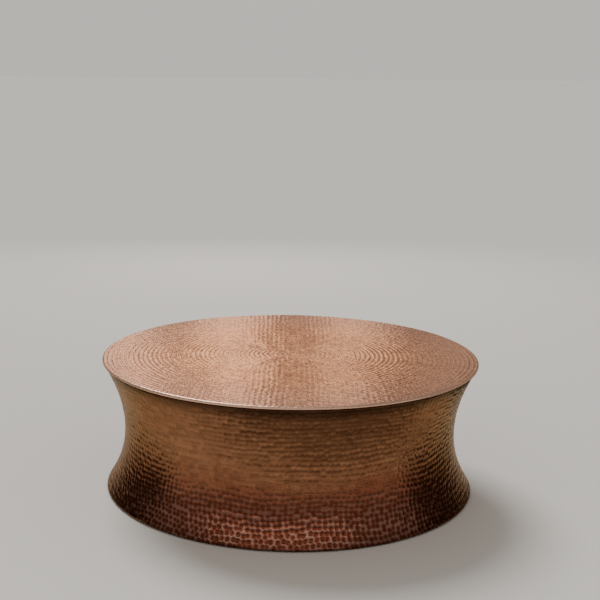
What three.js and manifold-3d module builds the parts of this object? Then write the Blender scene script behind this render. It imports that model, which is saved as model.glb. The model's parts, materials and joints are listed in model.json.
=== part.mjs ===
// Hammered copper drum table: a round copper top with a rolled rim, on a waisted copper drum
// that is rolled round a wire at its foot and stands on a hidden iron frame with nylon glides.
// Millimetres, +Z up, origin on the floor at the centre of the drum.
import * as THREE from "three";
import { mergeVertices } from "three/addons/utils/BufferGeometryUtils.js";
import Module from "manifold-3d";

const wasm = await Module();
wasm.setup();

// ---------------------------------------------------------------- driving dimensions

const tableHeight = 425;
const topRadius = 600; // outside of the rolled rim
const baseRadius = 588; // outside of the rolled foot
const mouthRadius = 591; // outside of the drum where it is turned in under the top
const waistRadius = 529; // outside of the drum at its narrowest
const waistHeight = 198;
const footFlare = THREE.MathUtils.degToRad(32); // lean of the wall where it starts to roll
const waistHandle = 0.5; // how far the wall stays steep below the waist, as a share of its fall
const footHandle = 0.25; // length of the flare at the foot, as a share of the same fall

const sheet = 1.2; // copper sheet
const gap = 0.3; // between pieces that touch
const footLift = 3; // floor to the underside of the rolled foot
const rimWireRadius = 3;
const baseWireRadius = 3.5;
const rimRoll = THREE.MathUtils.degToRad(270); // how far the sheet is rolled round the rim wire
const baseRoll = THREE.MathUtils.degToRad(250); // and round the base wire
const seatBend = 3; // outside radius of the bend at the drum's mouth
const seatWidth = 26; // turned-in edge that carries the board

const boardThickness = 9; // plywood board under the copper top

const topHoopWidth = 34;
const baseHoopWidth = 34;
const hoopThickness = 5;
const waistHoopRadius = 4; // round bar

const uprightCount = 6;
const uprightPhase = THREE.MathUtils.degToRad(15); // clear of the seams and of the cross tubes' ends
const uprightWidth = 25;
const uprightThickness = 4;
const uprightRoom = 1.2; // a flat bar's corners against a round hoop

const strapWidth = 30; // copper straps behind the drum's two seams
const strapThickness = 1.2;

const tubeSide = 25; // square tubes that cross under the board
const tubeWall = 2;

const glideRadius = 14;
const glideBore = 3.4;
const glideSink = 6; // radius of the recess for the screw's head
const glideSinkDepth = 3;

const screwAcross = 9; // head diameter of the board screws and of the glide screws
const screwHead = 2.6;
const screwShank = 2.2; // radius
const boardScrewBite = 6; // how far a board screw goes into the board
const screwStep = THREE.MathUtils.degToRad(20); // board screws stand this far round from the uprights

const aroundSteps = 60; // facets round everything that circles the table's axis
const smallSteps = 12; // facets round a glide
const barSides = 6; // facets round a wire or a round bar
const rimSteps = 8; // facets round the rolled rim
const seatSteps = 1; // facets along each stretch of the drum's wall, from its seat to its foot
const bendSteps = 2;
const upperSteps = 5;
const lowerSteps = 7;
const rollSteps = 7;
const screwSteps = 10; // facets round a screw and its holes

// ---------------------------------------------------------------- materials

const copperTop = new THREE.MeshStandardMaterial({ color: 0xb58a70, roughness: 0.38, metalness: 1 });
const copperWall = new THREE.MeshStandardMaterial({ color: 0x74482c, roughness: 0.42, metalness: 1 });
const blackIron = new THREE.MeshStandardMaterial({ color: 0x37332f, roughness: 0.62, metalness: 0.8 });
const brightSteel = new THREE.MeshStandardMaterial({ color: 0xa8a49c, roughness: 0.4, metalness: 1 });
const plywood = new THREE.MeshStandardMaterial({ color: 0xb48a5c, roughness: 0.8, metalness: 0 });
const nylon = new THREE.MeshStandardMaterial({ color: 0x1e1c1b, roughness: 0.6, metalness: 0 });

// ---------------------------------------------------------------- solids and shapes

const group = new THREE.Group();

function add(name, geometry, material) {
  const mesh = new THREE.Mesh(geometry, material);
  mesh.name = name;
  group.add(mesh);
  return mesh;
}

// A closed geometry as a manifold-3d solid.
function solidOf(geometry) {
  const bare = geometry.clone();
  bare.deleteAttribute("normal");
  bare.deleteAttribute("uv");
  const merged = mergeVertices(bare, 1e-4);
  const mesh = new wasm.Mesh({
    numProp: 3,
    vertProperties: merged.attributes.position.array,
    triVerts: new Uint32Array(merged.index.array),
  });
  return new wasm.Manifold(mesh);
}

function geometryOf(solid) {
  const mesh = solid.getMesh();
  const geometry = new THREE.BufferGeometry();
  geometry.setAttribute("position", new THREE.BufferAttribute(mesh.vertProperties, 3));
  geometry.setIndex(new THREE.BufferAttribute(mesh.triVerts, 1));
  geometry.computeVertexNormals();
  return geometry;
}

// A box between two corners.
function block(low, high) {
  const size = high.clone().sub(low);
  const middle = low.clone().add(high).multiplyScalar(0.5);
  return new THREE.BoxGeometry(size.x, size.y, size.z).translate(middle.x, middle.y, middle.z);
}

// A section in (radius, height), turned round the Z axis. The section starts and ends on the axis,
// or it is closed here on its own first point.
function revolve(section, steps = aroundSteps) {
  const points = section.slice();
  const onAxis = points[0].x === 0 && points.at(-1).x === 0;
  if (!onAxis) points.push(points[0].clone());
  if (THREE.ShapeUtils.area(section) < 0) points.reverse();
  return new THREE.LatheGeometry(points, steps).rotateX(Math.PI / 2);
}

function circle(radius, steps) {
  const points = [];
  for (let i = 0; i < steps; i++) {
    const angle = (2 * Math.PI * i) / steps;
    points.push(new THREE.Vector2(radius * Math.cos(angle), radius * Math.sin(angle)));
  }
  return points;
}

// Points along the outer face of a bent sheet, each with the direction that faces out.
// Each stretch is a curve and the number of steps along it, and the stretches run on smoothly.
function face(stretches) {
  const points = [];
  stretches.forEach(([curve, steps], k) => {
    for (let i = k === 0 ? 0 : 1; i <= steps; i++) {
      const tangent = curve.getTangent(i / steps);
      const out = new THREE.Vector2(-tangent.y, tangent.x);
      points.push({ at: curve.getPoint(i / steps), out });
    }
  });
  return points;
}

// The section between two depths under a face.
function layer(facePoints, shallow, deep) {
  const under = (depth) => facePoints.map((p) => p.at.clone().addScaledVector(p.out, -depth));
  return [...under(shallow), ...under(deep).reverse()];
}

// The radius of a line of points at a height.
function radiusAt(points, height) {
  const k = points.findIndex((p, i) => i > 0 && (points[i - 1].y - height) * (p.y - height) <= 0);
  const [a, b] = [points[k - 1], points[k]];
  return a.x + ((b.x - a.x) * (height - a.y)) / (b.y - a.y);
}

// A place at a radius and an angle round the table, at a height.
function around(radius, angle, height) {
  return new THREE.Vector3(radius * Math.cos(angle), radius * Math.sin(angle), height);
}

function uprightAngle(i) {
  return uprightPhase + (2 * Math.PI * i) / uprightCount;
}

// ---------------------------------------------------------------- copper top with its rolled rim

const rimRadius = rimWireRadius + gap + sheet;
const rimCentre = new THREE.Vector2(topRadius - rimRadius, tableHeight - rimRadius);

const topFace = face([
  [new THREE.LineCurve(new THREE.Vector2(0, tableHeight), new THREE.Vector2(rimCentre.x, tableHeight)), 1],
  [
    new THREE.EllipseCurve(
      rimCentre.x, rimCentre.y, rimRadius, rimRadius, Math.PI / 2, Math.PI / 2 - rimRoll, true,
    ),
    rimSteps,
  ],
]);
add("top_sheet", revolve(layer(topFace, 0, sheet)), copperTop);

const rimWire = new THREE.TorusGeometry(rimCentre.x, rimWireRadius, barSides, aroundSteps);
add("rim_wire", rimWire.translate(0, 0, rimCentre.y), brightSteel);

// ---------------------------------------------------------------- heights under the top

const boardTop = tableHeight - sheet - gap;
const boardUnderside = boardTop - boardThickness;
const boardRadius = rimCentre.x - rimRadius - 2 * gap;
const seatHeight = boardUnderside - gap; // upper face of the drum's turned-in edge
const topHoopTop = seatHeight - sheet - gap;
const topHoopUnderside = topHoopTop - hoopThickness;

// ---------------------------------------------------------------- drum wall

const footRadius = baseWireRadius + gap + sheet;
const footCentre = new THREE.Vector2(baseRadius - footRadius, footLift + footRadius);

// From the inner edge of the seat, out over the bend, down the wall and round the base wire.
// Above the waist the wall is a parabola, which leans out at twice its mean slope at the mouth.
function wallFace() {
  const bendCentre = new THREE.Vector2(mouthRadius - seatBend, seatHeight - seatBend);
  const mouthFlare = Math.atan2(2 * (bendCentre.x - waistRadius), bendCentre.y - waistHeight);
  const seatEdge = new THREE.Vector2(mouthRadius - seatWidth, seatHeight);
  const seatEnd = new THREE.Vector2(bendCentre.x, seatHeight);
  const bend = new THREE.EllipseCurve(
    bendCentre.x, bendCentre.y, seatBend, seatBend, Math.PI / 2, -mouthFlare, true,
  );
  const mouth = bend.getPoint(1);
  const waist = new THREE.Vector2(waistRadius, waistHeight);
  const steepest = mouth.y - (mouth.x - waistRadius) / Math.tan(mouthFlare);
  const upper = new THREE.QuadraticBezierCurve(mouth, new THREE.Vector2(waistRadius, steepest), waist);
  const roll = new THREE.EllipseCurve(
    footCentre.x, footCentre.y, footRadius, footRadius, footFlare, footFlare - baseRoll, true,
  );
  const foot = roll.getPoint(0);
  const fall = waistHeight - foot.y;
  const lower = new THREE.CubicBezierCurve(
    waist,
    new THREE.Vector2(waistRadius, waistHeight - waistHandle * fall),
    new THREE.Vector2(-Math.sin(footFlare), Math.cos(footFlare)).multiplyScalar(footHandle * fall).add(foot),
    foot,
  );
  return face([
    [new THREE.LineCurve(seatEdge, seatEnd), seatSteps],
    [bend, bendSteps],
    [upper, upperSteps],
    [lower, lowerSteps],
    [roll, rollSteps],
  ]);
}

const wall = wallFace();
const plainWall = wall.slice(seatSteps + bendSteps, -rollSteps); // between the bend and the roll
const wallInside = wall.map((p) => p.at.clone().addScaledVector(p.out, -sheet));
const wallSolid = solidOf(revolve(layer(wall, 0, sheet)));

// The drum is two half shells, brazed where they meet on the X axis.
function halfShell(side) {
  const far = 2 * Math.max(topRadius, baseRadius);
  const low = new THREE.Vector3(-far, side < 0 ? -far : gap / 2, -far);
  const high = new THREE.Vector3(far, side < 0 ? -gap / 2 : far, far);
  return geometryOf(wallSolid.intersect(solidOf(block(low, high))));
}

add("drum_wall_front", halfShell(-1), copperWall);
add("drum_wall_back", halfShell(1), copperWall);

const baseWire = new THREE.TorusGeometry(footCentre.x, baseWireRadius, barSides, aroundSteps);
add("base_wire", baseWire.translate(0, 0, footCentre.y), brightSteel);

// ---------------------------------------------------------------- hoops

const topHoopOuter = radiusAt(wallInside, topHoopUnderside) - gap;
const topHoopInner = topHoopOuter - topHoopWidth;
const baseHoopOuter = footCentre.x - footRadius - gap;
const baseHoopInner = baseHoopOuter - baseHoopWidth;
const baseHoopUnderside = footCentre.y - hoopThickness / 2;
const baseHoopTop = baseHoopUnderside + hoopThickness;

function hoop(inner, outer, underside) {
  const section = [
    new THREE.Vector2(inner, underside),
    new THREE.Vector2(outer, underside),
    new THREE.Vector2(outer, underside + hoopThickness),
    new THREE.Vector2(inner, underside + hoopThickness),
  ];
  return solidOf(revolve(section));
}

// An upright hole through a flat piece, as a solid to cut with.
function drill(place, radius, low, high) {
  const shape = new THREE.Shape(circle(radius, screwSteps));
  const pin = new THREE.ExtrudeGeometry(shape, { depth: high - low, bevelEnabled: false });
  return solidOf(pin.translate(place.x, place.y, low));
}

const boardScrewRadius = (topHoopInner + Math.min(topHoopOuter, mouthRadius - seatWidth)) / 2;
const boardScrews = [];
const glides = [];
for (let i = 0; i < uprightCount; i++) {
  boardScrews.push(around(boardScrewRadius, uprightAngle(i) + screwStep, topHoopUnderside));
  glides.push(around((baseHoopInner + baseHoopOuter) / 2, uprightAngle(i), 0));
}

let topHoop = hoop(topHoopInner, topHoopOuter, topHoopUnderside);
let baseHoop = hoop(baseHoopInner, baseHoopOuter, baseHoopUnderside);
for (const place of boardScrews) {
  topHoop = topHoop.subtract(drill(place, screwShank + gap, topHoopUnderside - 1, topHoopTop + 1));
}
for (const place of glides) {
  baseHoop = baseHoop.subtract(drill(place, screwShank + gap, baseHoopUnderside - 1, baseHoopTop + 1));
}
add("top_hoop", geometryOf(topHoop), blackIron);
add("base_hoop", geometryOf(baseHoop), blackIron);

const waistHoopPath = waistRadius - sheet - gap - waistHoopRadius;
const waistHoop = new THREE.TorusGeometry(waistHoopPath, waistHoopRadius, barSides, aroundSteps);
add("waist_hoop", waistHoop.translate(0, 0, waistHeight), blackIron);

// ---------------------------------------------------------------- uprights and seam straps

// Everything between two heights.
function slab(low, high) {
  const far = 2 * Math.max(topRadius, baseRadius);
  return solidOf(block(new THREE.Vector3(-far, -far, low), new THREE.Vector3(far, far, high)));
}

const uprightDepth = sheet + gap + 2 * waistHoopRadius + uprightRoom;
const uprightOutline = new THREE.Shape(layer(plainWall, uprightDepth, uprightDepth + uprightThickness));
const uprightBlank = new THREE.ExtrudeGeometry(uprightOutline, { depth: uprightWidth, bevelEnabled: false })
  .translate(0, 0, -uprightWidth / 2)
  .rotateX(Math.PI / 2);
const upright = geometryOf(
  solidOf(uprightBlank).intersect(slab(baseHoopTop + gap, topHoopUnderside - gap)),
);
for (let i = 0; i < uprightCount; i++) {
  add(`upright_${i + 1}`, upright.clone(), blackIron).rotation.z = uprightAngle(i);
}

const strapDepth = sheet + gap;
const strapRing = solidOf(revolve(layer(plainWall, strapDepth, strapDepth + strapThickness)));

// A strap behind the seam at one end of the X axis, between two heights.
function seamStrap(side, low, high) {
  const far = 2 * Math.max(topRadius, baseRadius);
  const corners = [
    new THREE.Vector3(side < 0 ? -far : 0, -strapWidth / 2, low),
    new THREE.Vector3(side < 0 ? 0 : far, strapWidth / 2, high),
  ];
  return geometryOf(strapRing.intersect(solidOf(block(...corners))));
}

const strapRoom = waistHoopRadius + gap;
for (const [name, side] of [["left", -1], ["right", 1]]) {
  const upper = seamStrap(side, waistHeight + strapRoom, topHoopUnderside - gap);
  const lower = seamStrap(side, footCentre.y + footRadius + gap, waistHeight - strapRoom);
  add(`seam_strap_${name}_upper`, upper, copperWall);
  add(`seam_strap_${name}_lower`, lower, copperWall);
}

// ---------------------------------------------------------------- plywood board

const boardShape = new THREE.Shape(circle(boardRadius, aroundSteps));
const boardBlank = new THREE.ExtrudeGeometry(boardShape, { depth: boardThickness, bevelEnabled: false });
let board = solidOf(boardBlank.translate(0, 0, boardUnderside));
for (const place of boardScrews) {
  const pilotTop = boardUnderside + boardScrewBite + gap;
  board = board.subtract(drill(place, screwShank + gap, boardUnderside - 1, pilotTop));
}
add("top_board", geometryOf(board), plywood);

// ---------------------------------------------------------------- cross tubes under the board

// A square tube along the X axis, its upper face under the board.
function crossTube(from, to) {
  const outer = tubeSide / 2;
  const inner = outer - tubeWall;
  const square = (half) => [
    new THREE.Vector2(-half, -half),
    new THREE.Vector2(half, -half),
    new THREE.Vector2(half, half),
    new THREE.Vector2(-half, half),
  ];
  const shape = new THREE.Shape(square(outer));
  shape.holes.push(new THREE.Path(square(inner)));
  return new THREE.ExtrudeGeometry(shape, { depth: to - from, bevelEnabled: false })
    .rotateY(Math.PI / 2)
    .translate(from, 0, boardUnderside - gap - outer);
}

// The hoop's flats are nearer the axis than its corners, and the tube's corners reach it first.
const topHoopFlat = topHoopInner * Math.cos(Math.PI / aroundSteps);
const tubeReach = Math.sqrt(topHoopFlat ** 2 - (tubeSide / 2) ** 2) - gap;
add("cross_tube_long", crossTube(-tubeReach, tubeReach), blackIron);
add("cross_tube_front", crossTube(tubeSide / 2 + gap, tubeReach), blackIron).rotation.z = -Math.PI / 2;
add("cross_tube_back", crossTube(tubeSide / 2 + gap, tubeReach), blackIron).rotation.z = Math.PI / 2;

// ---------------------------------------------------------------- board screws

// A pan-head screw that points up, its head's upper face at the given height.
function panScrew(seat, tip) {
  const head = screwAcross / 2;
  const section = [
    new THREE.Vector2(0, seat - screwHead),
    new THREE.Vector2(head * 0.6, seat - screwHead),
    new THREE.Vector2(head, seat - screwHead * 0.4),
    new THREE.Vector2(head, seat),
    new THREE.Vector2(screwShank, seat),
    new THREE.Vector2(screwShank, tip - screwShank),
    new THREE.Vector2(0, tip),
  ];
  return revolve(section, screwSteps);
}

boardScrews.forEach((place, i) => {
  const screw = panScrew(topHoopUnderside - gap, boardUnderside + boardScrewBite);
  add(`board_screw_${i + 1}`, screw, brightSteel).position.set(place.x, place.y, 0);
});

// ---------------------------------------------------------------- glides and their screws

const glideHeight = baseHoopUnderside - gap;

function glide() {
  const chamfer = 1;
  const section = [
    new THREE.Vector2(glideSink, 0),
    new THREE.Vector2(glideRadius - chamfer, 0),
    new THREE.Vector2(glideRadius, chamfer),
    new THREE.Vector2(glideRadius, glideHeight),
    new THREE.Vector2(glideBore, glideHeight),
    new THREE.Vector2(glideBore, glideSinkDepth),
    new THREE.Vector2(glideSink, glideSinkDepth),
  ];
  return revolve(section, smallSteps);
}

glides.forEach((place, i) => {
  const name = i + 1;
  const screw = panScrew(glideSinkDepth - gap, baseHoopTop - gap);
  add(`glide_${name}`, glide(), nylon).position.copy(place);
  add(`glide_screw_${name}`, screw, brightSteel).position.copy(place);
});

export default group;
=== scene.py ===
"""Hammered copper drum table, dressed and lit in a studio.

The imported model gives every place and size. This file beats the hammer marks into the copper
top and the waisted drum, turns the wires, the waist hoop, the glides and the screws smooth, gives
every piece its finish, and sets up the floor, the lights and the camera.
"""

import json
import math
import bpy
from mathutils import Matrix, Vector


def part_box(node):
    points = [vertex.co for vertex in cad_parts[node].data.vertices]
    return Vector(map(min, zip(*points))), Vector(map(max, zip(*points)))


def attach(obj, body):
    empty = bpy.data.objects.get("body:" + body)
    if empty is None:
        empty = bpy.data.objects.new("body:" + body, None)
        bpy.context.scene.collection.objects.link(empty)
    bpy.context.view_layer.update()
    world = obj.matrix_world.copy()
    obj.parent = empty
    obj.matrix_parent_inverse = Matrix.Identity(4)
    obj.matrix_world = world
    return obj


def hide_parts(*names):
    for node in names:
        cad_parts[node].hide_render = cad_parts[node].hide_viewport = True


bl_info = {
    "name": "Hammered Copper Drum Table",
    "version": (1, 0, 0),
    "blender": (4, 5, 0),
    "location": "View3D > Sidebar > Drum Table",
    "description": "Hammered copper skin, smooth fittings, finishes and a studio for a drum table",
    "category": "Add Mesh",
}

import bpy
import numpy as np
from bpy.props import FloatProperty, FloatVectorProperty, IntProperty, PointerProperty
from mathutils import Matrix, Vector

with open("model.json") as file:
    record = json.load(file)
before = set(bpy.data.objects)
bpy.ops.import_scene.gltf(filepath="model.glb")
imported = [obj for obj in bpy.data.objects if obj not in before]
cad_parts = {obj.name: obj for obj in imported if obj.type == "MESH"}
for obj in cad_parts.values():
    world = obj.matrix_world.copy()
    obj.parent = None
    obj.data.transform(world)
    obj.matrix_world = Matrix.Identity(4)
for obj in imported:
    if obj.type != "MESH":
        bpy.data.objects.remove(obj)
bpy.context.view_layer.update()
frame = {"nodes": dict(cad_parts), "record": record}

BODY = "root"
MM = 0.001
TURN = 2 * math.pi
MEAN_RELIEF = 0.6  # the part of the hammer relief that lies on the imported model's face

TABLE_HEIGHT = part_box("top_sheet")[1].z
TOP_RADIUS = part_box("top_sheet")[1].x
SEAT_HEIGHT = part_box("drum_wall_front")[1].z


# ---------------------------------------------------------------- colours and sizes


def linear(hex_colour):
    """An sRGB hex colour as linear red, green and blue."""
    values = [int(hex_colour[i : i + 2], 16) / 255 for i in (1, 3, 5)]
    return [v / 12.92 if v <= 0.04045 else ((v + 0.055) / 1.055) ** 2.4 for v in values]


def length(name, description, default):
    return FloatProperty(name=name, description=description, default=default, unit="LENGTH", min=0)


def colour(name, description, default):
    start = linear(default)
    return FloatVectorProperty(
        name=name, description=description, default=start, subtype="COLOR", size=3, min=0, max=1
    )


def count(name, description, default):
    return IntProperty(name=name, description=description, default=default, min=1)


class DrumTableSizes(bpy.types.PropertyGroup):
    """Sizes of the sheet, its rolled edges and its hammer marks, in metres."""

    sheet: length("Sheet", "Thickness of the copper sheet", 1.2 * MM)
    gap: length("Gap", "Clearance between a wire and the sheet rolled round it", 0.3 * MM)
    rim_wire: length("Rim wire", "Radius of the wire in the top's rim", 3.0 * MM)
    base_wire: length("Base wire", "Radius of the wire in the drum's foot", 3.5 * MM)
    seat_width: length("Seat width", "Width of the drum's turned-in edge", 26 * MM)
    seat_bend: length("Seat bend", "Outside radius of the bend at the drum's mouth", 3 * MM)
    hoop_bar: length("Hoop bar", "Radius of the round bar of the waist hoop", 4 * MM)
    top_pitch: length("Top marks", "Distance between hammer marks on the top", 14.8 * MM)
    wall_pitch: length("Wall marks", "Distance between hammer marks on the drum", 15.2 * MM)
    top_depth: length("Top depth", "Depth of a hammer mark on the top", 1.0 * MM)
    wall_depth: length("Wall depth", "Depth of a hammer mark on the drum's upper wall", 1.0 * MM)
    foot_depth: length("Foot depth", "Depth of a hammer mark on the flared foot", 1.2 * MM)
    sag: length("Sag", "Height of the slow waves that beating leaves in the sheet", 0.5 * MM)


class DrumTableColours(bpy.types.PropertyGroup):
    """Colours of the finishes."""

    top_copper: colour("Top copper", "Burnished copper on the top", "#cd966e")
    top_tarnish: colour("Top tarnish", "Thin tarnish on the top", "#a06a50")
    top_mauve: colour("Top mauve", "Tarnish toward the rim of the top", "#a27f74")
    # Painted highlight: pale pink painted all round the rim's bead in place of the line of light along
    # its edge.
    top_bead_highlight: colour("Top glint", "Bead of the rim, polished by touch", "#dcb49c")
    wall_copper: colour("Wall copper", "Golden brown copper on the drum", "#94694a")
    wall_streak: colour("Wall streak", "Darker streaks along the courses", "#744933")
    # Partly patina, partly painted shade: the lower wall is painted dark red-brown for the dark room that
    # it mirrors.
    wall_brown_and_painted_dark: colour("Wall brown", "Red-brown patina low on the drum", "#76412f")
    wall_pit: colour("Wall pit", "Dark patina left in the hammer marks of the foot", "#4b2419")
    wall_glint: colour("Wall glint", "Rubbed ridges between hammer marks", "#b3897a")
    raw_copper: colour("Raw copper", "Unpolished copper inside the drum", "#7a4a33")
    iron: colour("Iron", "Black lacquer on the hoops, bars and tubes", "#2a2725")
    steel: colour("Steel", "Zinc-plated screws and wires", "#b9b7b0")
    birch: colour("Birch", "Plywood board", "#c9a577")
    nylon: colour("Nylon", "Black glides", "#161515")
    floor: colour("Floor", "Studio floor", "#ebe8e3")


class DrumTableDetail(bpy.types.PropertyGroup):
    """How finely the hammered copper is drawn."""

    wall_columns: count("Wall columns", "Steps round each half of the drum", 600)
    steps_per_mark: count("Steps per mark", "Steps across a hammer mark", 4)
    rim_columns: count("Rim columns", "Steps round the top's rim", 966)
    seed: count("Seed", "Start of the random draws for the hammer marks", 11)


def sizes():
    return bpy.context.scene.drum_table_sizes


def colours():
    return bpy.context.scene.drum_table_colours


def detail():
    return bpy.context.scene.drum_table_detail


# ---------------------------------------------------------------- meshes


def make_piece(name, points, faces, material, replaced=(), marks=None, sharp=40):
    """A new piece from a table of points and a list of face tables, one for each number of corners.
    Edges sharper than the angle in degrees stay sharp. marks holds a value for each point, by name."""
    corners = np.concatenate([np.ravel(table) for table in faces]).astype(np.int32)
    counts = np.concatenate([np.full(len(table), len(table[0])) for table in faces])
    starts = np.concatenate([[0], np.cumsum(counts)[:-1]]).astype(np.int32)
    mesh = bpy.data.meshes.new(name)
    mesh.vertices.add(len(points))
    mesh.vertices.foreach_set("co", np.asarray(points, np.float32).ravel())
    mesh.loops.add(len(corners))
    mesh.loops.foreach_set("vertex_index", corners)
    mesh.polygons.add(len(counts))
    mesh.polygons.foreach_set("loop_start", starts)
    mesh.update(calc_edges=True)
    for mark, values in (marks or {}).items():
        layer = mesh.attributes.new(mark, "FLOAT", "POINT")
        layer.data.foreach_set("value", np.asarray(values, np.float32).ravel())
    mesh.shade_smooth()
    mesh.set_sharp_from_angle(angle=math.radians(sharp))
    mesh.materials.append(material)
    piece = bpy.data.objects.new(name, mesh)
    bpy.context.scene.collection.objects.link(piece)
    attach(piece, BODY)
    if replaced:
        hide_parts(*replaced)
    return piece


def zip_rings(first, first_count, second, second_count):
    """Triangles between two closed rings with different numbers of points.
    Each edge of one ring is joined to the point of the other that lies across from its middle:
    the middles of both rings' edges are put in order, and each edge takes the next point.
    first and second are the rings' first point numbers, and the second ring lies outside."""
    i = np.arange(first_count)
    j = np.arange(second_count)
    across_i = -((first_count - (2 * i + 1) * second_count) // (2 * first_count))
    across_j = ((2 * j + 1) * first_count - second_count) // (2 * second_count) + 1
    inward = np.stack([first + i, second + across_i % second_count, first + (i + 1) % first_count], 1)
    outward = np.stack([second + j, second + (j + 1) % second_count, first + across_j % first_count], 1)
    return np.concatenate([inward, outward])


def zip_lines(first, first_way, second, second_way):
    """Triangles between two open lines that run side by side and start and end together.
    first and second are the lines' point numbers, and the ways are their places along, which rise.
    Each edge is joined to the other line's point across from its middle, as in zip_rings."""
    first_middle = (first_way[1:] + first_way[:-1]) / 2
    second_middle = (second_way[1:] + second_way[:-1]) / 2
    across = second[np.searchsorted(second_middle, first_middle, "left")]
    back = first[np.searchsorted(first_middle, second_middle, "right")]
    return np.concatenate(
        [np.stack([first[:-1], across, first[1:]], 1), np.stack([second[:-1], second[1:], back], 1)]
    )


def grid_quads(rows, columns, closed_rows=False, closed_columns=False):
    """Four-cornered faces between the points of a table of rows and columns, numbered row by row."""
    r = np.arange(rows if closed_rows else rows - 1)[:, None]
    c = np.arange(columns if closed_columns else columns - 1)[None, :]
    next_row = (r + 1) % rows
    next_column = (c + 1) % columns
    here = r * columns
    after = next_row * columns
    corners = [here + c, here + next_column, after + next_column, after + c]
    return np.stack([np.broadcast_to(k, (r.size, c.size)) for k in corners], -1).reshape(-1, 4)


def arc(centre, radius, start, end, steps):
    """Points (r, z) on an arc and the directions out from its centre. Angles are radians from +r."""
    turn = np.linspace(start, end, steps + 1)
    out = np.stack([np.cos(turn), np.sin(turn)], 1)
    return np.asarray(centre) + radius * out, out


def travelled(line):
    """Distance along a line of points, from its start."""
    return np.concatenate([[0], np.cumsum(np.linalg.norm(np.diff(line, axis=0), axis=1))])


# ---------------------------------------------------------------- hammer marks

BLOW_SPACING = 1.05  # pitches from one blow to the next along a course
DRIFT = 0.1  # how far blows and whole courses stray along a course
DRIFT_ACROSS = 0.05  # how far blows stray across it, with an eighth of the wander added
SHALLOWEST = 0.3  # how far the lightest blow falls short of a full one
HIGHEST_RIDGE = 1.5
OUT_OF_REACH = 9.0


def hammer_marks(along, angle, course_radius, pitch, wander, roundness, seed):
    """Relief of hammer marks laid in courses, each course a ring of blows one pitch from the next.
    A blow leaves a bowl: the relief at a point is the least, over the nine nearest blows, of the
    squared distance to the blow's centre in half pitches, plus how shallow that blow was. So every
    blow is a bowl with a ridge where it meets the next. Centres, depths and tones are random.
    along is the distance across the courses and angle the place round them. wander is how far the
    courses stray, in pitches, and roundness how much deeper a bowl cuts along its course: at 0 the
    courses are plain grooves. Returns the relief, 0 in a bowl and about 1 on a ridge, and the tone
    of the blow that the point lies in."""
    draw = np.random.default_rng(seed)
    courses = len(course_radius)
    blows = np.maximum(3, np.round(TURN * course_radius / (pitch * BLOW_SPACING))).astype(int)
    widest = blows.max()
    start = 0.5 * (np.arange(courses) % 2) + draw.normal(0, DRIFT, courses)
    drift_round = draw.normal(0, DRIFT, (courses, widest))
    drift_across = draw.normal(0, DRIFT_ACROSS + wander / 8, (courses, widest))
    shallow = draw.random((courses, widest)) ** 2 * SHALLOWEST
    tones = draw.random((courses, widest))
    along = along + pitch * wander * slow_waves(along, angle, seed + 5)
    course = np.floor(along / pitch).astype(int)
    best = np.full(np.shape(along), OUT_OF_REACH)
    tone = np.zeros(np.shape(along))
    for step_across in (-1, 0, 1):
        k = np.clip(course + step_across, 0, courses - 1)
        place = (angle / TURN + 1) * blows[k] + start[k]
        nearest = np.floor(place).astype(int)
        for step_round in (-1, 0, 1):
            j = (nearest + step_round) % blows[k]
            round_gap = (place - nearest - step_round - 0.5 - drift_round[k, j]) * 2
            across_gap = (along / pitch - k - 0.5 - drift_across[k, j]) * 2
            bowl = roundness * round_gap**2 + across_gap**2 + shallow[k, j]
            closer = bowl < best
            best = np.where(closer, bowl, best)
            tone = np.where(closer, tones[k, j], tone)
    return np.minimum(best, HIGHEST_RIDGE), tone


def slow_waves(along, angle, seed):
    """Low waves that beating leaves in a sheet: the mean of eight plane waves, each with 4 to 14
    crests round the table and up to 25 radians to the metre across the courses, times 1.6, which
    keeps it mostly between -1 and 1."""
    draw = np.random.default_rng(seed)
    waves = 8
    steepest = 25
    total = np.zeros(np.broadcast(along, angle).shape)
    for _ in range(waves):
        turns = draw.integers(4, 15)
        across = draw.uniform(-steepest, steepest)
        total += np.cos(turns * angle + across * along + draw.uniform(0, TURN)) / waves
    return total * 1.6


# ---------------------------------------------------------------- materials

# The Mix node's colour sockets share their names with its number sockets, so they go by number:
# 0 takes the factor, 6 and 7 the two colours, and output 2 gives the blend.
BLEND = {"output": 2, "data_type": "RGBA"}


def add_node(tree, kind, inputs=(), output=0, **settings):
    """Adds a shader node and returns one of its outputs. inputs is a list for the first sockets, or
    a table by a socket's name or number: each is a value, or the output that feeds the socket."""
    node = tree.nodes.new("ShaderNode" + kind)
    for key, value in settings.items():
        setattr(node, key, value)
    for key, value in inputs.items() if isinstance(inputs, dict) else enumerate(inputs):
        socket = node.inputs[key]
        if isinstance(value, bpy.types.NodeSocket):
            tree.links.new(value, socket)
        elif socket.type == "RGBA":
            socket.default_value = (*value, 1)
        else:
            socket.default_value = value
    return node.outputs[output]


def new_material(name):
    """An empty material with its tree, its shader and the place on the object in metres."""
    material = bpy.data.materials.new(name)
    material.use_nodes = True
    tree = material.node_tree
    shader = tree.nodes["Principled BSDF"]
    place = add_node(tree, "TexCoord", output="Object")
    return material, tree, shader, place


def mottling(tree, place, size, layers, stretch=(1, 1, 1)):
    """Blotches about the given size in millimetres, made narrower by the stretch along each axis.
    layers is how many times finer noise is laid over them."""
    spread = add_node(tree, "Mapping", {"Vector": place, "Scale": stretch})
    inputs = {"Vector": spread, "Scale": 1 / (size * MM), "Detail": layers, "Roughness": 0.6}
    return add_node(tree, "TexNoise", inputs)


def hammered_attributes(tree):
    """The relief, the tone of each blow and the mark of the sheet's hidden side, from the mesh."""
    names = ("blow_ridge", "blow_tone", "inside")
    return [add_node(tree, "Attribute", output="Fac", attribute_name=name) for name in names]


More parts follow.
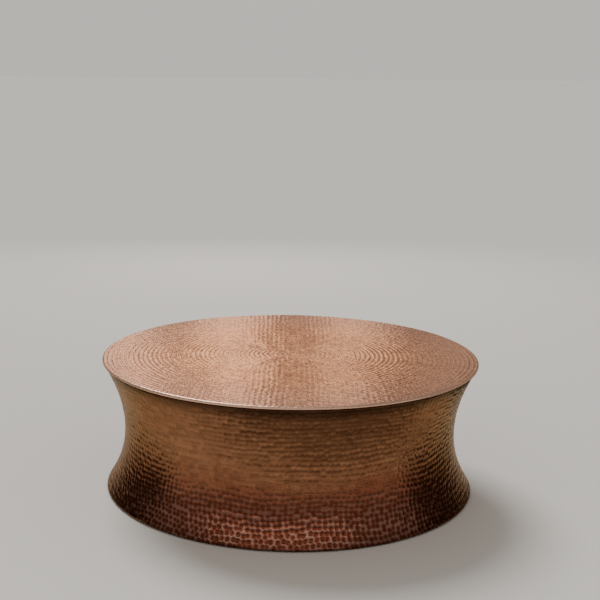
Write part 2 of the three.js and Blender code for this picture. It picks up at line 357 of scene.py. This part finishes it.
def finish_copper(tree, shader, place, base, inside, roughness, edge_tint):
    """Joins the outer colour and the raw inner side to the shader, with grain in the sheen.
    The grain is 4 mm and 0.3 mm high. roughness holds its least and its greatest value."""
    grain = mottling(tree, place, size=4, layers=2)
    sheen = add_node(tree, "MapRange", [grain, 0.3, 0.7, *roughness])
    bump = add_node(tree, "Bump", {"Height": grain, "Strength": 0.08, "Distance": 0.3 * MM})
    both_sides = add_node(tree, "Mix", {0: inside, 6: base, 7: colours().raw_copper}, **BLEND)
    tree.links.new(both_sides, shader.inputs["Base Color"])
    tree.links.new(sheen, shader.inputs["Roughness"])
    tree.links.new(bump, shader.inputs["Normal"])
    shader.inputs["Metallic"].default_value = 1
    shader.inputs["Specular Tint"].default_value = (*linear(edge_tint), 1)


def burnished_hammered_copper():
    """Copper sheet planished in rings, burnished and lacquered: warm pink-tan metal, each blow
    a slightly different tone, brighter on the ridges that the cloth reaches, with cloudy tarnish
    that turns mauve toward the rim. The rim's bead is painted pale pink all round as a painted highlight."""
    material, tree, shader, place = new_material("burnished_hammered_copper")
    c = colours()
    ridge, tone, inside = hammered_attributes(tree)
    cloud = mottling(tree, place, size=150, layers=4)
    blotch = add_node(tree, "Math", [cloud, tone], operation="ADD")
    tarnished = add_node(tree, "MapRange", [blotch, 0.55, 1.45, 0.9, 0.0])
    base = add_node(tree, "Mix", {0: tarnished, 6: c.top_copper, 7: c.top_tarnish}, **BLEND)
    level = add_node(tree, "VectorMath", [place, (1, 1, 0)], operation="MULTIPLY")
    reach = add_node(tree, "VectorMath", [level], output="Value", operation="LENGTH")
    toward_rim = add_node(tree, "MapRange", [reach, 0.55 * TOP_RADIUS, TOP_RADIUS, 0.0, 0.7])
    base = add_node(tree, "Mix", {0: toward_rim, 6: base, 7: c.top_mauve}, **BLEND)
    rubbed = add_node(tree, "MapRange", [ridge, 0.1, 1.1, 0.72, 1.12])
    base = add_node(tree, "VectorMath", {0: base, "Scale": rubbed}, operation="SCALE")
    # Painted highlight: the rim's bead is painted pale pink all round, standing in for the bright line of
    # light on it.
    bead_highlight_mask = add_node(tree, "MapRange", [reach, TOP_RADIUS - 5 * MM, TOP_RADIUS - 3 * MM, 0, 1])
    base = add_node(tree, "Mix", {0: bead_highlight_mask, 6: base, 7: c.top_bead_highlight}, **BLEND)
    finish_copper(
        tree, shader, place, base, inside, roughness=(0.22, 0.34), edge_tint="#efd9cc"
    )
    return material


def patinated_hammered_copper():
    """Copper sheet hammered in courses and darkened with heat and liver of sulphur: golden olive
    brown streaked along the courses above the waist, red-brown below (partly patina, partly
    painted shade), painted nearly black close under the top and painted darker at the floor as
    shade, pink where the ridges on the foot are rubbed bright."""
    material, tree, shader, place = new_material("patinated_hammered_copper")
    c = colours()
    ridge, tone, inside = hammered_attributes(tree)
    height = add_node(tree, "SeparateXYZ", [place], output="Z")
    streak = mottling(tree, place, size=130, layers=5, stretch=(1, 1, 11))
    streaked = add_node(tree, "MapRange", [streak, 0.36, 0.64, 0.6, 0.0])
    wall = add_node(tree, "Mix", {0: streaked, 6: c.wall_copper, 7: c.wall_streak}, **BLEND)
    # The red-brown begins at a height that wanders by up to 0.12 m round the drum. It is partly
    # red-brown patina and partly painted shade for the dark room that the lower wall mirrors.
    cloud = mottling(tree, place, size=260, layers=3, stretch=(1, 1, 2.5))
    level = add_node(tree, "Math", [cloud, 0.12, height], operation="MULTIPLY_ADD")
    browned_and_painted_dark = add_node(tree, "MapRange", [level, 0.15, 0.3, 1, 0], interpolation_type="SMOOTHSTEP")
    base = add_node(tree, "Mix", {0: browned_and_painted_dark, 6: wall, 7: c.wall_brown_and_painted_dark}, **BLEND)
    blow = add_node(tree, "MapRange", [tone, 0, 1, 0.84, 1.16])
    base = add_node(tree, "VectorMath", {0: base, "Scale": blow}, operation="SCALE")
    # Painted shade: the wall is painted darker over the 50 mm under the top, down to 0.27 at the seat,
    # for the shadow under the rim.
    shade_under_top = [height, SEAT_HEIGHT - 0.05, SEAT_HEIGHT, 1, 0.27]
    painted_shade_under_top = add_node(tree, "MapRange", shade_under_top, interpolation_type="SMOOTHSTEP")
    base = add_node(tree, "VectorMath", {0: base, "Scale": painted_shade_under_top}, operation="SCALE")
    # On the foot the patina stays in the marks, more in some than in others, and the ridges shine.
    on_foot = add_node(tree, "MapRange", [height, 0.06, 0.16, 1, 0])
    uneven = add_node(tree, "MapRange", [tone, 0, 1, 0.25, 0.75])
    in_mark = add_node(tree, "MapRange", [ridge, 0.1, 0.6, 1, 0])
    some = add_node(tree, "Math", [on_foot, uneven], operation="MULTIPLY")
    pitted = add_node(tree, "Math", [in_mark, some], operation="MULTIPLY")
    base = add_node(tree, "Mix", {0: pitted, 6: base, 7: c.wall_pit}, **BLEND)
    on_ridge = add_node(tree, "MapRange", [ridge, 0.6, 1.3, 0, 0.62])
    rubbed = add_node(tree, "Math", [on_ridge, on_foot], operation="MULTIPLY")
    base = add_node(tree, "Mix", {0: rubbed, 6: base, 7: c.wall_glint}, **BLEND)
    # Painted shade: the bottom 45 mm of the drum are painted darker, down to 0.6 at the floor.
    floor_shade_levels = [height, 0.008, 0.045, 0.6, 1]
    painted_shade_at_floor = add_node(tree, "MapRange", floor_shade_levels, interpolation_type="SMOOTHSTEP")
    base = add_node(tree, "VectorMath", {0: base, "Scale": painted_shade_at_floor}, operation="SCALE")
    finish_copper(
        tree, shader, place, base, inside, roughness=(0.2, 0.32), edge_tint="#eadec8"
    )
    return material


def simple_finish(name, base, roughness, metallic, grain, depth):
    """A finish of one colour, mottled, and uneven at the grain's size and depth in millimetres."""
    material, tree, shader, place = new_material(name)
    fine = add_node(tree, "TexNoise", {"Vector": place, "Scale": 1 / (grain * MM), "Detail": 3})
    wide = add_node(tree, "TexNoise", {"Vector": place, "Scale": 14, "Detail": 3})
    shade = add_node(tree, "MapRange", [wide, 0, 1, 0.75, 1.25])
    toned = add_node(tree, "VectorMath", {0: base, "Scale": shade}, operation="SCALE")
    rough = add_node(tree, "MapRange", [fine, 0, 1, roughness - 0.1, roughness + 0.1])
    bump = add_node(tree, "Bump", {"Height": fine, "Strength": 0.4, "Distance": depth * MM})
    tree.links.new(toned, shader.inputs["Base Color"])
    tree.links.new(rough, shader.inputs["Roughness"])
    tree.links.new(bump, shader.inputs["Normal"])
    shader.inputs["Metallic"].default_value = metallic
    return material


def birch_plywood():
    """Rotary-cut birch plywood, sanded and unfinished: pale, with long soft grain along one way."""
    material, tree, shader, place = new_material("birch_plywood")
    along = add_node(tree, "Mapping", {"Vector": place, "Scale": (3, 45, 45)})
    fibre = {"Vector": along, "Scale": 2, "Detail": 6, "Distortion": 0.8}
    grain = add_node(tree, "TexNoise", fibre)
    shade = add_node(tree, "MapRange", [grain, 0, 1, 0.6, 1.25])
    toned = add_node(tree, "VectorMath", {0: colours().birch, "Scale": shade}, operation="SCALE")
    bump = add_node(tree, "Bump", {"Height": grain, "Strength": 0.3, "Distance": 0.2 * MM})
    tree.links.new(toned, shader.inputs["Base Color"])
    tree.links.new(bump, shader.inputs["Normal"])
    shader.inputs["Roughness"].default_value = 0.75
    return material


def matt_paint(name, base, specular):
    """Plain matt paint or felt of one colour. specular is how strongly its face shines, 0.5 as usual."""
    material, _, shader, _ = new_material(name)
    shader.inputs["Base Color"].default_value = (*base, 1)
    shader.inputs["Roughness"].default_value = 0.9
    shader.inputs["Specular IOR Level"].default_value = specular
    return material


# ---------------------------------------------------------------- the table's pieces


BEAD_STEPS = 10
INNER_BEAD_STEPS = 7
UNDERSIDE_RINGS = 7
BEAD_BEATEN = 0.45  # how strongly the top's bead is hammered, where the flat is 1
ROLL_BEATEN = 0.35  # the same for the roll at the drum's foot
ROLL_TURN = math.radians(250)  # how far the foot's edge is rolled round its wire


class HammerTop(bpy.types.Operator):
    """Beats the round top: rings of hammer marks inside a rolled rim"""

    bl_idname = "drum_table.hammer_top"
    bl_label = "Hammered top"

    def execute(self, context):
        s = sizes()
        d = detail()
        roll = s.rim_wire + s.gap + s.sheet
        centre = (TOP_RADIUS - roll, TABLE_HEIGHT - roll)
        rings = round(centre[0] / s.top_pitch)
        pitch = centre[0] / rings
        flat_steps = d.steps_per_mark * rings
        flat_r = np.linspace(0, centre[0], flat_steps + 1)[1:]
        flat = np.stack([flat_r, np.full(flat_steps, TABLE_HEIGHT)], 1)
        flat_out = np.tile([0.0, 1.0], (flat_steps, 1))
        bead, bead_out = arc(centre, roll, math.pi / 2, -math.pi, BEAD_STEPS)
        outer = np.concatenate([flat, bead[1:]])
        outer_out = np.concatenate([flat_out, bead_out[1:]])
        inner_bead, inner_bead_out = arc(
            centre, roll - s.sheet, -math.pi, math.pi / 2, INNER_BEAD_STEPS
        )
        under_r = np.linspace(centre[0], 0, UNDERSIDE_RINGS + 2)[1:-1]
        under = np.stack([under_r, np.full(len(under_r), TABLE_HEIGHT - s.sheet)], 1)
        inner = np.concatenate([inner_bead, under])

        # Each ring has as many points as its length asks for, and the hidden side a quarter as many.
        counts = np.round(outer[:, 0] / centre[0] * d.rim_columns).astype(int)
        counts[flat_steps:] = d.rim_columns
        counts = np.concatenate([counts, np.full(len(inner), d.rim_columns // 4)])
        counts = np.maximum(counts, 6)
        line = np.concatenate([outer, inner])
        out = np.concatenate([outer_out, inner_bead_out, np.tile([0.0, 1.0], (len(under), 1))])
        along = np.concatenate(
            [flat_r, flat_r[-1] + travelled(bead)[1:], np.full(len(inner_bead), centre[0]), under_r]
        )
        # The hidden side isn't hammered and only follows the slow waves.
        beaten = np.concatenate([np.ones(flat_steps), np.full(len(bead) - 1, BEAD_BEATEN)])
        hammered = np.concatenate([beaten, np.zeros(len(inner))])
        wavy = np.concatenate([beaten, np.full(len(inner_bead), BEAD_BEATEN), np.ones(len(under))])

        ring = np.repeat(np.arange(len(counts)), counts)
        first = np.concatenate([[0], np.cumsum(counts)[:-1]])
        angle = TURN * (np.arange(len(ring)) - first[ring]) / counts[ring]
        course_radius = (np.arange(math.ceil(along.max() / pitch)) + 0.5) * pitch
        course_radius = np.minimum(course_radius, TOP_RADIUS)
        relief, tone = hammer_marks(
            along[ring], angle, course_radius, pitch, wander=0.1, roundness=0.5, seed=d.seed
        )
        waves = slow_waves(along[ring], angle, d.seed) * s.sag
        lift = hammered[ring] * (relief - MEAN_RELIEF) * s.top_depth + wavy[ring] * waves
        r = line[ring, 0] + out[ring, 0] * lift
        z = line[ring, 1] + out[ring, 1] * lift
        points = np.stack([r * np.cos(angle), r * np.sin(angle), z], 1)
        points = np.concatenate([points, [[0, 0, TABLE_HEIGHT], [0, 0, TABLE_HEIGHT - s.sheet]]])
        top_middle, under_middle = len(points) - 2, len(points) - 1

        faces = [
            zip_rings(first[k], counts[k], first[k + 1], counts[k + 1])
            for k in range(len(counts) - 1)
        ]
        i = np.arange(counts[0])
        faces.append(np.stack([np.full_like(i, top_middle), i, (i + 1) % counts[0]], 1))
        i = np.arange(counts[-1])
        after = (i + 1) % counts[-1]
        faces.append(np.stack([first[-1] + i, np.full_like(i, under_middle), first[-1] + after], 1))
        inside = np.concatenate([(hammered[ring] == 0).astype(float), [0, 1]])
        marks = {
            "blow_ridge": np.concatenate([relief, [0.5, 0.5]]),
            "blow_tone": np.concatenate([tone, [0.5, 0.5]]),
            "inside": inside,
        }
        make_piece(
            "hammered_top",
            points,
            [np.concatenate(faces)],
            burnished_hammered_copper(),
            ["top_sheet"],
            marks,
        )
        return {"FINISHED"}


def drum_profile():
    """The drum's outer radius as a smooth polynomial of height, of the seventh degree, fitted to
    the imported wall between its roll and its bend."""
    wall = frame["nodes"]["drum_wall_front"]
    heights = np.linspace(16 * MM, SEAT_HEIGHT - 6 * MM, 60)
    radii = [-wall.ray_cast(Vector((0, -2, z)), Vector((0, 1, 0)))[1].y for z in heights]
    return np.polynomial.Polynomial.fit(heights, radii, 7)


def wall_section(step, bend_steps, roll_steps):
    """The drum's outer face in (r, z), from the seat's inner edge over the bend, down the wall in
    even steps and round the base wire. Returns the points, the directions that face out, the
    distance along from the wall's top, how strongly each point is hammered, a place that rises by
    one over each of the bend, the wall and the roll, and the even step."""
    s = sizes()
    profile = drum_profile()
    slope = profile.deriv()
    flare = math.atan(slope(SEAT_HEIGHT - s.seat_bend))
    top = SEAT_HEIGHT - s.seat_bend * (1 + math.sin(flare))
    bend_centre = (profile(top) - s.seat_bend * math.cos(flare), SEAT_HEIGHT - s.seat_bend)
    bend, bend_out = arc(bend_centre, s.seat_bend, math.pi / 2, -flare, bend_steps)
    seat = np.array([[profile(top) - s.seat_width, SEAT_HEIGHT]])

    roll = s.base_wire + s.gap + s.sheet
    low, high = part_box("base_wire")
    roll_centre = (high.x - s.base_wire, (low.z + high.z) / 2)
    foot_lean = math.atan(-slope(roll_centre[1] + roll))
    foot = roll_centre[1] + roll * math.sin(foot_lean)
    turns, turns_out = arc(roll_centre, roll, foot_lean, foot_lean - ROLL_TURN, roll_steps)
    # Even steps along the wall, not along its height. Close to the foot the wall eases out to meet
    # the roll: the eighth power leaves the rest of it alone.
    fine = np.linspace(top, foot, 400)
    fine_line = np.stack([profile(fine), fine], 1)
    fine_line[:, 0] += (turns[0, 0] - profile(foot)) * ((top - fine) / (top - foot)) ** 8
    way = travelled(fine_line)
    rows = round(way[-1] / step)
    even = np.linspace(0, way[-1], rows + 1)[1:-1]
    wall = np.stack([np.interp(even, way, fine_line[:, 0]), np.interp(even, way, fine_line[:, 1])], 1)
    lean = np.gradient(wall, axis=0)
    wall_out = np.stack([-lean[:, 1], lean[:, 0]], 1) / np.linalg.norm(lean, axis=1)[:, None]

    line = np.concatenate([seat, bend, wall, turns])
    out = np.concatenate([[[0, 1]], bend_out, wall_out, turns_out])
    beaten = [np.zeros(1 + len(bend)), np.ones(len(wall)), np.full(len(turns), ROLL_BEATEN)]
    along = np.maximum(travelled(line) - travelled(line)[len(bend)], 0)
    on_bend = np.linspace(1, 2, len(bend))
    on_wall = np.linspace(2, 3, len(wall) + 2)[1:-1]
    on_roll = np.linspace(3, 4, len(turns))
    place = np.concatenate([[0], on_bend, on_wall, on_roll])
    return line, out, along, np.concatenate(beaten), place, way[-1] / rows


class HammerDrum(bpy.types.Operator):
    """Raises the two halves of the waisted drum, hammered in courses and rolled at the foot"""

    bl_idname = "drum_table.hammer_drum"
    bl_label = "Hammered drum"

    def execute(self, context):
        s = sizes()
        d = detail()
        line, out, along, hammered, place, step = wall_section(
            s.wall_pitch / d.steps_per_mark, bend_steps=4, roll_steps=12
        )
        pitch = step * d.steps_per_mark
        coarse_line, coarse_out, coarse_along, coarse_wavy, coarse_place, _ = wall_section(
            2 * s.wall_pitch, bend_steps=2, roll_steps=7
        )
        inner_line = (coarse_line - coarse_out * s.sheet)[::-1]
        section = np.concatenate([line, inner_line])
        section_out = np.concatenate([out, coarse_out[::-1]])
        section_along = np.concatenate([along, coarse_along[::-1]])
        wavy = np.concatenate([hammered, coarse_wavy[::-1]])
        hammered = np.concatenate([hammered, np.zeros(len(inner_line))])
        loop = len(section)

        courses = math.ceil(along.max() / pitch)
        middles = (np.arange(courses) + 0.5) * pitch
        course_radius = np.interp(middles, along, line[:, 0])
        # The marks deepen from the wall's depth at 150 mm above the floor to the foot's at 60 mm.
        on_foot = np.clip((150 * MM - section[:, 1]) / (90 * MM), 0, 1)
        depth = s.wall_depth + (s.foot_depth - s.wall_depth) * on_foot
        material = patinated_hammered_copper()
        for name, node, side in (
            ("hammered_drum_front", "drum_wall_front", -1),
            ("hammered_drum_back", "drum_wall_back", 1),
        ):
            seam = s.gap / 2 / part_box("waist_hoop")[1].x
            turn = np.linspace(seam, math.pi - seam, d.wall_columns + 1)
            turn = turn if side > 0 else turn - math.pi
            angle = np.repeat(turn, loop)
            k = np.tile(np.arange(loop), len(turn))
            relief, tone = hammer_marks(
                section_along[k], angle, course_radius, pitch, wander=0.55, roundness=0.9, seed=d.seed + 1
            )
            waves = slow_waves(section_along[k], angle, d.seed + 2) * s.sag
            lift = hammered[k] * (relief - MEAN_RELIEF) * depth[k] + wavy[k] * waves
            r = section[k, 0] + section_out[k, 0] * lift
            z = section[k, 1] + section_out[k, 1] * lift
            points = np.stack([r * np.cos(angle), r * np.sin(angle), z], 1)
            quads = grid_quads(len(turn), loop, closed_columns=True)
            inner_points = np.arange(loop)[: len(line) - 1 : -1]
            end = zip_lines(np.arange(len(line)), place, inner_points, coarse_place)
            ends = np.concatenate([end, end[:, ::-1] + loop * (len(turn) - 1)])
            marks = {"blow_ridge": relief, "blow_tone": tone, "inside": (k >= len(line)).astype(float)}
            make_piece(name, points, [quads, ends], material, [node], marks)
        return {"FINISHED"}


def turned_ring(name, centre_radius, centre_height, bar_radius, material, node):
    """A closed ring of round bar: a circle carried round the table's axis."""
    steps, sides = 360, 16
    turn = np.arange(steps)[:, None] * TURN / steps
    side = np.arange(sides)[None, :] * TURN / sides
    r = centre_radius + bar_radius * np.cos(side)
    z = np.broadcast_to(centre_height + bar_radius * np.sin(side), (steps, sides))
    points = np.stack([r * np.cos(turn), r * np.sin(turn), z], -1).reshape(-1, 3)
    quads = grid_quads(steps, sides, closed_rows=True, closed_columns=True)[:, ::-1]
    make_piece(name, points, [quads], material, [node])


class BendRings(bpy.types.Operator):
    """Bends the two wires and the waist hoop as true rings of round bar"""

    bl_idname = "drum_table.bend_rings"
    bl_label = "Wires and waist hoop"

    def execute(self, context):
        s = sizes()
        # Zinc plate is pale grey metal with a faintly clouded sheen.
        steel = simple_finish(
            "zinc_plated_steel", colours().steel, roughness=0.35, metallic=1, grain=2, depth=0.02
        )
        iron = bpy.data.materials["black_lacquered_iron"]
        for name, node, radius, material, slot in (
            ("steel_rim_wire", "rim_wire", s.rim_wire, steel, "bright_steel"),
            ("steel_base_wire", "base_wire", s.base_wire, steel, "bright_steel"),
            ("round_waist_hoop", "waist_hoop", s.hoop_bar, iron, "black_iron"),
        ):
            low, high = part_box(node)
            turned_ring(name, high.x - radius, (low.z + high.z) / 2, radius, material, node)
        return {"FINISHED"}


def turned_solid(section, middle, steps):
    """Points and faces of a solid turned on an upright axis through middle. The section (r, z)
    closes on itself and runs clockwise seen with r to the right and z up."""
    section = np.asarray(section)
    turn = np.arange(steps) * TURN / steps
    r = section[None, :, 0]
    points = np.stack(
        [
            middle[0] + r * np.cos(turn)[:, None],
            middle[1] + r * np.sin(turn)[:, None],
            np.broadcast_to(section[None, :, 1], (steps, len(section))),
        ],
        -1,
    )
    return points.reshape(-1, 3), grid_quads(steps, len(section), closed_rows=True, closed_columns=True)


class TurnGlides(bpy.types.Operator):
    """Moulds the six nylon glides with rounded edges and a recess for the screw"""

    bl_idname = "drum_table.turn_glides"
    bl_label = "Glides"

    def execute(self, context):
        # Moulded nylon is black with a low soft sheen and a fine grain.
        nylon = simple_finish(
            "moulded_black_nylon", colours().nylon, roughness=0.5, metallic=0, grain=1.5, depth=0.05
        )
        bore, recess, sink = 3.4 * MM, 6 * MM, 3 * MM
        soft, edge, lip = 1.2 * MM, 0.4 * MM, 0.3 * MM
        for name in sorted(n for n in frame["nodes"] if n.startswith("glide_") and "screw" not in n):
            low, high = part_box(name)
            middle = ((low.x + high.x) / 2, (low.y + high.y) / 2)
            outer = (high.x - low.x) / 2
            lower, _ = arc((outer - soft, soft), soft, -math.pi / 2, 0, 5)
            section = np.concatenate(
                [
                    [[bore, high.z], [outer - edge, high.z], [outer, high.z - edge]],
                    lower[::-1],
                    [[recess + lip, 0], [recess, lip], [recess, sink], [bore, sink]],
                ]
            )
            points, quads = turned_solid(section, middle, 48)
            piece_name = name.replace("glide", "nylon_glide")
            make_piece(piece_name, points, [quads], nylon, [name])
        return {"FINISHED"}


class DriveScrews(bpy.types.Operator):
    """Makes the pan-head screws, each with a cross recess that faces the floor"""

    bl_idname = "drum_table.drive_screws"
    bl_label = "Screws"

    def execute(self, context):
        steel = bpy.data.materials["zinc_plated_steel"]
        shank, head_height = 2.2 * MM, 2.6 * MM
        tip, hub = 0.3 * MM, 0.35 * MM  # radii of the flats that close the point and the head
        arm_width, arm_length, recess_depth = 1.1 * MM, 2.4 * MM, 1.4 * MM
        steps = 48
        for node in sorted(n for n in frame["nodes"] if "screw" in n):
            low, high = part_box(node)
            middle = ((low.x + high.x) / 2, (low.y + high.y) / 2)
            head = (high.y - low.y) / 2
            under = low.z + head_height
            face = np.linspace(hub, head * 0.7, 7)
            dome, _ = arc((head * 0.7, low.z + head * 0.3), head * 0.3, -math.pi / 2, 0, 4)
            stem = [[head, under], [shank, under], [shank, high.z - shank], [tip, high.z]]
            section = np.concatenate(
                [np.stack([face, np.full(len(face), low.z)], 1), dome[1:], stem]
            )[::-1]
            points, quads = turned_solid(section, middle, steps)
            # The recess: the points of the head's face that lie within a cross go in.
            x, y = points[:, 0] - middle[0], points[:, 1] - middle[1]
            reach = np.maximum(abs(x), abs(y))
            across = np.minimum(abs(x), abs(y))
            on_face = points[:, 2] < low.z + 1e-6
            cut = on_face & (across < arm_width / 2) & (reach < arm_length)
            points[:, 2] += np.where(cut, recess_depth, 0)
            # Each end ring closes with a face of its own.
            ring = np.arange(steps) * len(section)
            quads = quads.reshape(steps, len(section), 4)[:, :-1].reshape(-1, 4)
            ends = [ring[None, :], ring[None, ::-1] + len(section) - 1]
            make_piece("steel_" + node, points, [quads, *ends], steel, [node], sharp=30)
        return {"FINISHED"}


class FinishFrame(bpy.types.Operator):
    """Gives the iron frame, the board and the seam straps their finishes"""

    bl_idname = "drum_table.finish_frame"
    bl_label = "Frame finishes"

    def execute(self, context):
        c = colours()
        # Lacquer brushed over forged iron is nearly black and satin, on slightly lumpy metal.
        iron = simple_finish(
            "black_lacquered_iron", c.iron, roughness=0.5, metallic=0, grain=3, depth=0.12
        )
        # Copper left as it was brazed is dull red-brown metal, blotched by the heat.
        strap = simple_finish(
            "raw_copper_strap", c.raw_copper, roughness=0.45, metallic=1, grain=4, depth=0.1
        )
        board = birch_plywood()
        finishes = {"black_iron": iron, "copper_wall": strap, "plywood": board}
        for part in frame["record"]["subparts"]:
            material = finishes.get(part["material_slot"])
            if material:
                mesh = frame["nodes"][part["node"]].data
                mesh.materials.clear()
                mesh.materials.append(material)
        return {"FINISHED"}


# ---------------------------------------------------------------- the studio


# Upright strips of light behind the table: each hammer mark on the top mirrors a strip and a gap.
# Each has its place to the right in metres and its power in watts.
STRIPS = {
    "strip_far_left": (-1.2, 8),
    "strip_left": (-0.4, 8),
    "strip_right": (0.4, 5.5),
    "strip_far_right": (1.2, 2),
}
STRIP_WIDTH, STRIP_HEIGHT = 0.4, 1.4
STRIP_BACK, STRIP_UP = 4.6, 2.0
# Black felt cards: the place to the right, how far back they reach and their height, in metres.
CARDS = {"card_left": (-1.05, 0.45, 0.25), "card_right": (0.92, 0.8, 0.26)}
CARD_FRONT = -0.5
# The backdrop lights the table softly. It is seen as bright as the far floor, so no horizon shows.
BACKDROP_LIGHT, BACKDROP_SEEN = 0.42, 0.81
FLOOR_HALF = 80
CAMERA_PLACE = (0, -3.7701, 1.3659)
CAMERA_YAW, CAMERA_PITCH, CAMERA_ROLL = -1.988, 9.076, -0.46  # degrees; the pitch is down
CAMERA_SHIFT = 1 / 12  # of the frame's width, to the right and down


class BuildStage(bpy.types.Operator):
    """Sets up the pale floor, the soft lights and the camera"""

    bl_idname = "drum_table.build_stage"
    bl_label = "Stage"

    def execute(self, context):
        scene = context.scene
        corners = [(-FLOOR_HALF, -FLOOR_HALF, 0), (FLOOR_HALF, -FLOOR_HALF, 0)]
        corners += [(FLOOR_HALF, FLOOR_HALF, 0), (-FLOOR_HALF, FLOOR_HALF, 0)]
        self.flat_sheet("studio_floor", corners, matt_paint("matt_floor_paint", colours().floor, 0.1))

        world = bpy.data.worlds.new("studio")
        world.use_nodes = True
        backdrop = world.node_tree.nodes["Background"]
        backdrop.inputs["Color"].default_value = (*linear("#e9e4dd"), 1)
        seen = add_node(world.node_tree, "LightPath", output="Is Camera Ray")
        levels = [seen, 0, 1, BACKDROP_LIGHT, BACKDROP_SEEN]
        strength = add_node(world.node_tree, "MapRange", levels)
        world.node_tree.links.new(strength, backdrop.inputs["Strength"])
        scene.world = world

        self.soft_sun(towards=(-0.35, 0.75, 1.0), power=2.0, width=25)
        self.soft_light(
            "front",
            place=(-0.3, -2.9, 2.1),
            target=(0, -0.5, 0.1),
            width=5.0,
            height=1.0,
            power=14,
            hex_colour="#fff3ea",
        )
        for name, (x, power) in STRIPS.items():
            place = (x, STRIP_BACK, STRIP_UP)
            self.soft_light(name, place, (0, 0, 0.4), STRIP_WIDTH, STRIP_HEIGHT, power, "#fff2e4")
        for name, card in CARDS.items():
            self.black_card(name, *card)
        self.place_camera(scene)
        return {"FINISHED"}

    def flat_sheet(self, name, corners, material):
        """A flat sheet with four corners, linked to the scene apart from the table."""
        mesh = bpy.data.meshes.new(name)
        mesh.from_pydata(corners, [], [(0, 1, 2, 3)])
        mesh.materials.append(material)
        sheet = bpy.data.objects.new(name, mesh)
        bpy.context.scene.collection.objects.link(sheet)
        return sheet

    def soft_sun(self, towards, power, width):
        """A broad distant light, its direction given from the floor and its width in degrees."""
        lamp = bpy.data.lights.new("sun", "SUN")
        lamp.energy = power
        lamp.angle = math.radians(width)
        light = bpy.data.objects.new("sun", lamp)
        light.rotation_euler = Vector(towards).to_track_quat("Z", "Y").to_euler()
        bpy.context.scene.collection.objects.link(light)

    def soft_light(self, name, place, target, width, height, power, hex_colour):
        """An oblong area light that faces a point."""
        lamp = bpy.data.lights.new(name, "AREA")
        lamp.energy = power
        lamp.shape = "RECTANGLE"
        lamp.size = width
        lamp.size_y = height
        lamp.color = linear(hex_colour)
        light = bpy.data.objects.new(name, lamp)
        light.location = place
        light.rotation_euler = (Vector(target) - Vector(place)).to_track_quat("-Z", "Y").to_euler()
        light.visible_camera = False
        bpy.context.scene.collection.objects.link(light)

    def black_card(self, name, x, back, height):
        """A black card beside the table that only mirror images show: the copper's sides turn dark
        toward it. It stands on the floor and reaches from the table's front to the given depth."""
        corners = [(x, CARD_FRONT, 0), (x, back, 0), (x, back, height), (x, CARD_FRONT, height)]
        felt = matt_paint(name + "_black_felt", linear("#4a3f35"), 0.5)
        card = self.flat_sheet(name, corners, felt)
        card.visible_camera = False
        card.visible_diffuse = False
        card.visible_shadow = False

    def place_camera(self, scene):
        """A long lens 3.8 m away, tipped down toward the table and shifted a little to frame it."""
        yaw, pitch, roll = np.radians([CAMERA_YAW, CAMERA_PITCH, CAMERA_ROLL])
        forward = Vector((math.sin(yaw), math.cos(yaw), -math.tan(pitch))).normalized()
        level = Vector((math.cos(yaw), -math.sin(yaw), 0))
        down = forward.cross(level)
        right = math.cos(roll) * level + math.sin(roll) * down
        up = math.sin(roll) * level - math.cos(roll) * down
        lens = bpy.data.cameras.new("camera")
        lens.lens = 72
        lens.sensor_width = 36
        lens.shift_x = CAMERA_SHIFT
        lens.shift_y = -CAMERA_SHIFT
        lens.clip_end = 300
        camera = bpy.data.objects.new("camera", lens)
        turn = Matrix((right, up, -forward)).transposed().to_4x4()
        camera.matrix_world = Matrix.Translation(CAMERA_PLACE) @ turn
        scene.collection.objects.link(camera)
        scene.camera = camera


# ---------------------------------------------------------------- the add-on


class DrumTablePanel(bpy.types.Panel):
    """Lists the steps that dress the table"""

    bl_idname = "VIEW3D_PT_drum_table"
    bl_label = "Drum Table"
    bl_space_type = "VIEW_3D"
    bl_region_type = "UI"
    bl_category = "Drum Table"

    def draw(self, context):
        for operator in OPERATORS:
            self.layout.operator(operator.bl_idname)
        for group in (sizes(), colours(), detail()):
            box = self.layout.box()
            for key in group.__annotations__:
                box.prop(group, key)


OPERATORS = (FinishFrame, BendRings, HammerTop, HammerDrum, TurnGlides, DriveScrews, BuildStage)
GROUPS = (DrumTableSizes, DrumTableColours, DrumTableDetail)


def register():
    for cls in (*GROUPS, *OPERATORS, DrumTablePanel):
        bpy.utils.register_class(cls)
    bpy.types.Scene.drum_table_sizes = PointerProperty(type=DrumTableSizes)
    bpy.types.Scene.drum_table_colours = PointerProperty(type=DrumTableColours)
    bpy.types.Scene.drum_table_detail = PointerProperty(type=DrumTableDetail)


def unregister():
    del bpy.types.Scene.drum_table_detail
    del bpy.types.Scene.drum_table_colours
    del bpy.types.Scene.drum_table_sizes
    for cls in reversed((*GROUPS, *OPERATORS, DrumTablePanel)):
        bpy.utils.unregister_class(cls)


def main():
    register()
    for operator in OPERATORS:
        group, name = operator.bl_idname.split(".")
        getattr(getattr(bpy.ops, group), name)()


if __name__ == "__main__":
    main()
